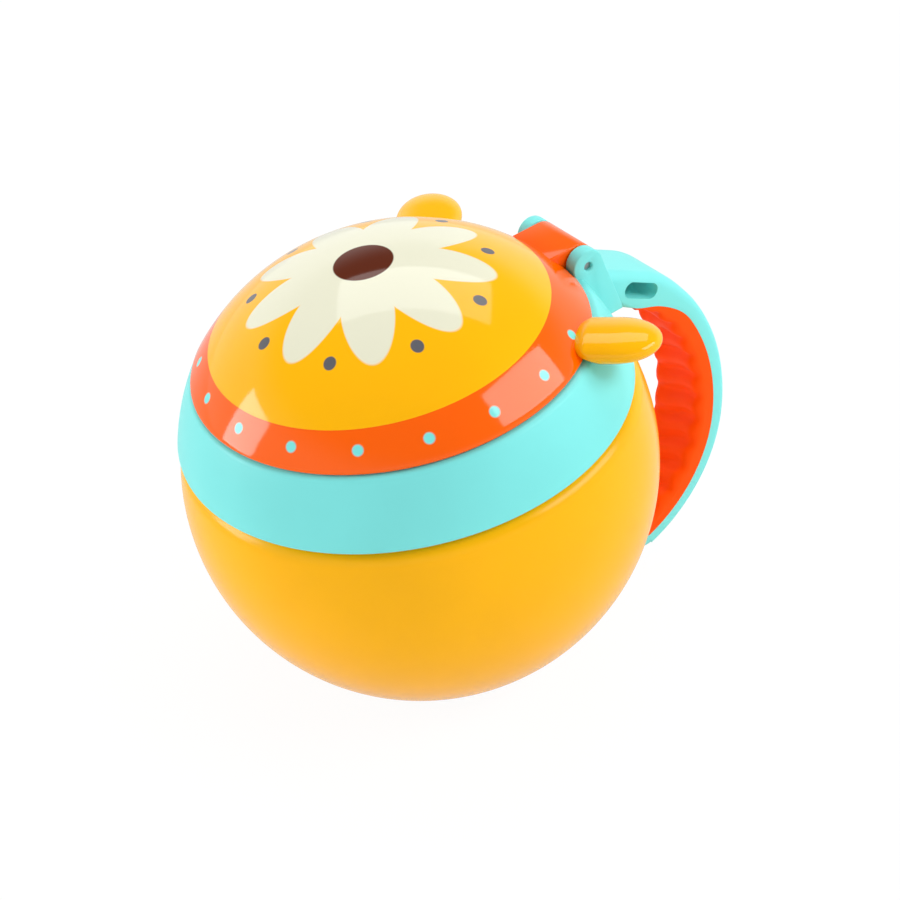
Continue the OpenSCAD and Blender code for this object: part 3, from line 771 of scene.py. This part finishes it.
def tip_section(u):
    """Section of the rounded tip at distance u past the end of the grip."""
    r = grip_in / 2
    k = math.sqrt(1 - (u / r) ** 2)
    return section(handle_w / 2 - band_round * (1 - k), r - r * k, r + r * k,
                   band_round * k, band_round * k)


def lofted(name, rings):
    """Extrudes a section along the handle, ring by ring, each ring given as [s, section]."""
    def placed(s, points):
        at, angle = along_handle(s)
        return [Vector((x, at[0] + y * math.cos(angle), at[1] + y * math.sin(angle)))
                for x, y in points]

    select_only()
    bpy.ops.mesh.primitive_circle_add(vertices=len(rings[0][1]), radius=handle_w / 2,
                                      fill_type="NGON")
    piece = named(name)
    in_edit_mode(piece)
    shape = bmesh.from_edit_mesh(piece.data)
    shape.verts.ensure_lookup_table()
    last = placed(*rings[0])
    for vertex, point in zip(shape.verts, last):
        vertex.co = point
    bmesh.update_edit_mesh(piece.data)
    for ring in rings[1:]:
        bpy.ops.mesh.extrude_region_move()
        points = placed(*ring)
        shape = bmesh.from_edit_mesh(piece.data)
        for vertex in [v for v in shape.verts if v.select]:
            nearest = min(range(len(last)), key=lambda i: (last[i] - vertex.co).length_squared)
            vertex.co = points[nearest]
        bmesh.update_edit_mesh(piece.data)
        last = points
    bpy.ops.mesh.select_all(action="SELECT")
    bpy.ops.mesh.normals_make_consistent(inside=False)
    bpy.ops.object.mode_set(mode="OBJECT")
    return piece


band_steps = 110
tip_steps = 8
rings = [(s, section(handle_w / 2, 0, root_t, band_round, band_round))
         for s in (0, 4 * MM, 8 * MM, 12 * MM, grip_s - 2 * band_round)]
for i in range(band_steps + 1):
    s = grip_s + (low_s - grip_s) * i / band_steps
    rings.append((s, section(handle_w / 2, 0, seam_depth(s), min(band_round, seam_depth(s) / 2),
                             seam_round)))
for i in range(tip_steps + 1):
    u = grip_in / 2 * math.sin(math.radians(86 * i / tip_steps))
    rings.append((low_s + 0.01 * MM + u, tip_section(u)))
handle = lofted("handle_arm_and_band", rings)
cut_with(handle, rod("barrel_room", pocket_r, handle_w + MM))

# slot for a strap: an oval opening through the root
slot_c = (knee_p - slot_back * Vector((math.cos(root_fall), -math.sin(root_fall)))
          - (root_t / 2 - slot_up) * Vector((math.sin(root_fall), math.cos(root_fall))))
strap_slot = new_shape("strap_slot")
half = (slot_l - slot_t) / 2
start_outline(-half, slot_t / 2)
line_to(strap_slot, half, slot_t / 2)
arc_about((half, 0), -180, 16)
line_to(strap_slot, -half, -slot_t / 2)
arc_about((-half, 0), -180, 16)
bpy.ops.mesh.select_all(action="SELECT")
bpy.ops.mesh.remove_doubles(threshold=merge_gap)
bpy.ops.mesh.edge_face_add()
bpy.ops.mesh.extrude_region_move(TRANSFORM_OT_translate={"value": (0, 2 * slot_reach, 0)})
close_up()
bpy.ops.object.mode_set(mode="OBJECT")
strap_slot.matrix_world = (Matrix.Translation((slot_reach, slot_c[0], slot_c[1]))
                           @ Matrix.Rotation(-root_fall, 4, "X")
                           @ Matrix.Rotation(math.pi / 2, 4, "Z"))
settle(strap_slot)
cut_with(handle, strap_slot)
cut_with(handle, ball("inner_ball", collar_r - let_in, -collar_forward, collar_c_h))
seat(handle)
finish(handle, collar_plastic, "collar", "collar_pp", "handle_arm")


def grip_section(s):
    """The grip's section: a rounded, slightly scooped surface with slanting waves."""
    d, t, w = seam_depth(s), inner_depth(s), handle_w / 2
    run = (min(s, back_s) - knee_s) * (1 - grip_in / back_r) \
        + max(0, s - back_s) * (1 - grip_in / low_r)
    rise = ease(s, grip_s, knee_s)
    f = min(grip_round, (t - d) / 2)
    points = []
    steps = 8
    for k in range(steps + 1):
        a = math.radians(180 + 90 * k / steps)
        points.append((f - w + f * math.cos(a), f - t + f * math.sin(a)))
    flat = 28
    for k in range(1, flat):
        x = (f - w) + (2 * w - 2 * f) * k / flat
        points.append((x, -t))
    for k in range(steps + 1):
        a = math.radians(-90 + 90 * k / steps)
        points.append((w - f + f * math.cos(a), f - t + f * math.sin(a)))
    shaped = []
    for x, y in points:
        u = x / w
        near_face = min(1, max(0, (-y - d) / max(t - d, 1e-6)))
        phase = run / rib_pitch + wave_slant * u + wave_bow * math.sin(math.pi * u)
        wave = ((1 - math.cos(2 * math.pi * phase)) / 2) ** valley_narrow
        valley = valley_depth * wave * (1 - wave_calm * u * u)
        hollow = grip_scoop * (1 - u * u) ** 2
        shaped.append((x, y + rise * near_face ** 2 * (valley + hollow)))
    return [(w - 0.02 * MM, -d)] + [(-w + 0.02 * MM, -d)] + shaped


grip_steps = 150
grip_at = [grip_s + (low_s - grip_s) * i / grip_steps for i in range(grip_steps + 1)]
grip = lofted("handle_grip_soft", [(s, grip_section(s)) for s in grip_at])
seat(grip)
finish(grip, grip_rubber, "collar", "grip_tpe", "handle_grip", smooth=50)

# ---------------------------------------------------------------- lid
lid = new_shape("lid_dome")
skin_r = dome_r - film_proud
skin_c = math.sqrt((skin_r - lid_fillet) ** 2 - (lid_edge_h + lid_fillet - lid_rise) ** 2)
skin_at = math.degrees(math.atan2(lid_edge_h + lid_fillet - lid_rise, skin_c))
wall_in = skin_r - lid_wall
start_outline(0, lid_rise + skin_r)
arc_about((0, lid_rise), skin_at - 90, 64)
arc_about((skin_c, lid_edge_h + lid_fillet), -90 - skin_at, 6)
edge_in = math.sqrt(wall_in ** 2 - (lid_edge_h - lid_rise) ** 2)
line_to(lid, edge_in, lid_edge_h)
arc_about((0, lid_rise), 90 - math.degrees(math.asin((lid_edge_h - lid_rise) / wall_in)), 40)
turned(lid, lid_forward)
close_up()
bpy.ops.object.mode_set(mode="OBJECT")

boss = rod("boss", boss_r, hinge_w + 2 * (hinge_side_gap + boss_wall))
cut_with(boss, ball("dome_inside", skin_r - lid_wall / 2, -lid_forward, lid_rise), "INTERSECT")
in_edit_mode(boss)
bpy.ops.mesh.bisect(plane_co=(0, 0, lid_edge_h + 0.02 * MM), plane_no=(0, 0, 1), use_fill=True,
                    clear_inner=True)
bpy.ops.object.mode_set(mode="OBJECT")
for side in (-1, 1):
    pocket = rod("pocket", pocket_r, lug_t + 2 * hinge_side_gap)
    pocket.location.x = side * (lug_in + lug_t / 2)
    settle(pocket)
    cut_with(boss, duplicate(pocket, "pocket_copy"))
    cut_with(lid, pocket)

tongue = new_shape("tongue")
start_outline(hinge_back - 2 * lug_r, hinge_h)
line_to(tongue, hinge_back - 2 * lug_r, hinge_h + lug_r)
line_to(tongue, hinge_back, hinge_h + lug_r)
arc_about((hinge_back, hinge_h), -270, 48)
plate(tongue, tongue_w, tongue_w / 2)
cut_with(tongue, rod("pin_bore", pin_r + 0.05 * MM, through, sides=48))
round_edges(tongue, tongue_round, 4, above=45)
joined(lid, boss, tongue)
seat(lid)
finish(lid, lid_plastic, "lid", "lid_abs", "lid_shell")

# printed film: a thin skin on the dome
film = new_shape("printed_film")
film_edge = math.degrees(math.asin(film_r / dome_r))
start_outline(0, dome_r)
arc_about((0, 0), -film_edge, 64)
line_to(film, film_r, math.sqrt((dome_r - film_t) ** 2 - film_r ** 2))
arc_about((0, 0), math.degrees(math.asin(film_r / (dome_r - film_t))), 24)
turned(film)
close_up()
bpy.ops.object.mode_set(mode="OBJECT")
film.matrix_world = (Matrix.Translation((0, -lid_forward, lid_rise))
                     @ Matrix.Rotation(film_tilt, 4, "X"))
settle(film)
seat(film)
finish(film, printed_film, "lid", "printed_film", "decor_film")

# liner: an inner dome with a flange and a plug
liner = new_shape("lid_liner")
liner_out = dome_r - lid_wall - liner_space
liner_in = liner_out - liner_wall
flange_top = flange_h + liner_flange_t
flange_out = dome_r - lid_wall - 0.1 * MM


def dome_out(radius, up):
    """Distance of the lid's sphere of this radius from its axis at a height."""
    return math.sqrt(radius ** 2 - (up - lid_rise) ** 2)


start_outline(0, lid_rise + liner_in)
arc_about((0, lid_rise), math.degrees(math.asin((flange_h - lid_rise) / liner_in)) - 90, 48)
turned(liner, lid_forward)
start_outline(dome_out(flange_out, flange_h), flange_h)
line_to(liner, dome_out(flange_out, flange_top), flange_top)
line_to(liner, dome_out(liner_out, flange_top), flange_top)
arc_about((0, lid_rise), 90 - math.degrees(math.asin((flange_top - lid_rise) / liner_out)), 32)
turned(liner, lid_forward)
plug_in = plug_r - liner_wall
start_outline(plug_in, flange_h)
line_to(liner, plug_in, plug_h + soft)
arc_about((plug_in + soft, plug_h + soft), 90, 3)
line_to(liner, plug_r - soft, plug_h)
arc_about((plug_r - soft, plug_h + soft), 90, 3)
line_to(liner, plug_r, flange_h)
turned(liner)
bridge_rings(liner, flange_h, plug_in, dome_out(liner_in, flange_h), lid_forward)
bridge_rings(liner, flange_h, plug_r, dome_out(flange_out, flange_h), lid_forward)
close_up()
seat(liner)
finish(liner, liner_plastic, "lid", "liner_pp", "lid_liner")

# side tabs: smooth rounded paddles let into the dome
for side, word in ((-1, "left"), (1, "right")):
    select_only()
    bpy.ops.mesh.primitive_uv_sphere_add(segments=96, ring_count=64, radius=1)
    tab = named("side_tab_" + word + "_paddle")
    # the inner half keeps nearly its full section up to the dome, and the tip is blunt
    in_edit_mode(tab)
    for vertex in bmesh.from_edit_mesh(tab.data).verts:
        x, y, z = vertex.co
        across = max(math.hypot(y, z), 1e-6)
        if x < 0:
            wider = 1 / max(across, 0.89 - 0.08 * max(-1, min(1, 3 * z)))
        else:
            wider = max(0, 1 - x ** tab_blunt) ** (1 / tab_blunt) / across
        vertex.co = (x, y * wider, z * wider)
    bmesh.update_edit_mesh(tab.data)
    bpy.ops.object.mode_set(mode="OBJECT")
    tab.matrix_world = (Matrix.Scale(side, 4, (1, 0, 0)) @ Matrix.Rotation(tab_turn, 4, "Z")
                        @ Matrix.Translation((tab_back, 0, tab_h))
                        @ Matrix.Rotation(-tab_roll, 4, "X")
                        @ Matrix.Diagonal((tab_long, tab_wide, tab_thick, 1)))
    settle(tab)
    face_outwards(tab)
    cut_with(tab, ball("dome_core", dome_r - tab_let_in, -lid_forward, lid_rise))
    collar_room = ball("collar_room", collar_r + tab_clear, -collar_forward, collar_c_h)
    in_edit_mode(collar_room)
    bpy.ops.mesh.bisect(plane_co=(0, 0, lid_edge_h), plane_no=(0, 0, 1), use_fill=True,
                        clear_outer=True, threshold=cut_gap)
    bpy.ops.object.mode_set(mode="OBJECT")
    cut_with(tab, collar_room)
    seat(tab)
    finish(tab, tab_plastic, "lid", "tab_abs", "side_tab_" + word)

# ---------------------------------------------------------------- pieces that keep their node
for node, material in (("hinge_pin", pin_steel), ("flap_ring", flap_rubber),
                       *((f"flap_{i}", flap_rubber) for i in range(1, 7))):
    mesh = frame["nodes"][node].data
    mesh.materials.clear()
    mesh.materials.append(material)

# ---------------------------------------------------------------- studio
wall_level = 1.08
ceiling_level = 0.3
wall_top = math.radians(20)
ceiling_from = math.radians(38)
glow_share = 0.93
floor_drop = 0.02 * MM
select_only()
bpy.ops.mesh.primitive_plane_add(size=4, location=(0, 0, -floor_drop))
floor = named("studio_floor")
paper = bpy.data.materials.new("paper_white")
paper.use_nodes = True
tree = paper.node_tree
matt = tree.nodes["Principled BSDF"]
matt.inputs["Base Color"].default_value = linear(paper_grey)
matt.inputs["Roughness"].default_value = 0.9
sight = add(tree, "LightPath")
seen = add(tree, "Math", {0: sight.outputs["Is Camera Ray"],
                          1: sight.outputs["Is Glossy Ray"]}, operation="MAXIMUM")
seen_or_through = add(tree, "Math", {0: seen.outputs[0],
                                     1: sight.outputs["Is Transmission Ray"]},
                      operation="MAXIMUM")
share = add(tree, "Math", {0: seen_or_through.outputs[0], 1: glow_share}, operation="MULTIPLY")
mirrored = add(tree, "MapRange", {"Value": sight.outputs["Is Glossy Ray"], "To Min": 1.02,
                                  "To Max": 0.75})
glow = add(tree, "Emission", {"Color": (1, 1, 1, 1), "Strength": mirrored.outputs[0]})
mixed = add(tree, "MixShader", {0: share.outputs[0], 1: matt.outputs[0], 2: glow.outputs[0]})
tree.links.new(mixed.outputs[0], tree.nodes["Material Output"].inputs["Surface"])
floor.data.materials.append(paper)

# the studio's walls are white up to about head height, and its ceiling is dim
world = bpy.data.worlds.new("studio_world")
scene.world = world
world.use_nodes = True
tree = world.node_tree
sight = add(tree, "LightPath")
up = add(tree, "SeparateXYZ", {0: add(tree, "TexCoord").outputs["Generated"]}).outputs[2]
walls = add(tree, "MapRange", {"Value": up, "From Min": math.sin(wall_top),
                               "From Max": math.sin(ceiling_from), "To Min": wall_level,
                               "To Max": ceiling_level}, interpolation_type="SMOOTHSTEP")
level = add(tree, "Mix", {"Factor": sight.outputs["Is Camera Ray"], 2: walls.outputs[0],
                          3: 1.0}, data_type="FLOAT")
tree.links.new(level.outputs[0], tree.nodes["Background"].inputs["Strength"])
tree.nodes["Background"].inputs["Color"].default_value = (1, 1, 1, 1)


def softbox(name, at, wide_along, width, height, brightness, towards=None):
    """A soft rectangular lamp at a place, its width along a direction, that looks at the
    container or straight along another direction. brightness is what a mirror shows of it."""
    at = Vector(at)
    look = (Vector(towards) if towards else Vector((0, 10 * MM, 60 * MM)) - at).normalized()
    wide = Vector(wide_along)
    wide = (wide - wide.dot(look) * look).normalized()
    bpy.ops.object.light_add(type="AREA", location=at)
    lamp = bpy.context.object
    lamp.name = name
    lamp.data.shape = "RECTANGLE"
    lamp.data.size, lamp.data.size_y = width, height
    lamp.data.energy = brightness * math.pi * width * height
    lamp.matrix_world = Matrix.Translation(at) @ Matrix(
        (wide, (-look).cross(wide), -look)).transposed().to_4x4()


# a long box overhead, one behind on the right, and a low one in front on the left
softbox("overhead_box", (-0.47, 0.29, 1.06), wide_along=(-0.56, -0.83, 0), width=1.1,
        height=0.62, brightness=2.9, towards=(0, 0, -1))
softbox("right_box", (0.5, 0.51, 0.70), wide_along=(-0.40, 0.57, -0.14), width=0.70,
        height=0.30, brightness=7.0)
softbox("left_box", (-0.52, -0.83, 0.25), wide_along=(0.83, -0.52, 0), width=0.34,
        height=0.42, brightness=8.0)
